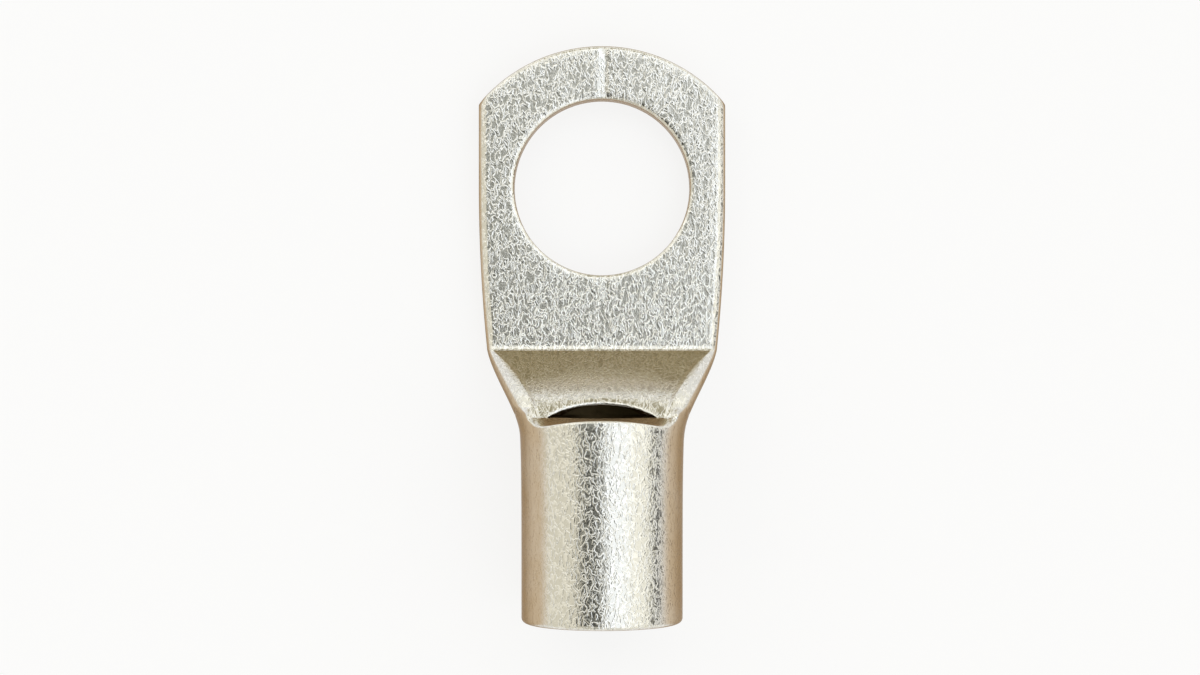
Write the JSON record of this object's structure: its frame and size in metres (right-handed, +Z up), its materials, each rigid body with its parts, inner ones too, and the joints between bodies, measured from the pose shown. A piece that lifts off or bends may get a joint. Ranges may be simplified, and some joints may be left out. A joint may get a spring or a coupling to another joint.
{
  "type": "tubular cable lug",
  "caption": "Tin-plated tubular cable lug: round conductor barrel pressed flat into a palm with a stud hole, with an inspection window at the shoulder.",
  "frame": {"origin": "on the stud hole's axis, in the plane of the palm's contact face", "axes": "+Z up out of the palm's upper face along the stud hole, +Y towards the palm's tip, so the barrel's mouth opens along -Y, +X to the right"},
  "size_m": [0.0146, 0.034, 0.0095],
  "materials": {
    "tin_plate": "matt silver-grey tin plate over copper, with a fine worm-like crinkle and warm brown tints on steep faces"
  },
  "bodies": {
    "root": {"cable_lug": "tin_plate"}
  },
  "joints": []
}
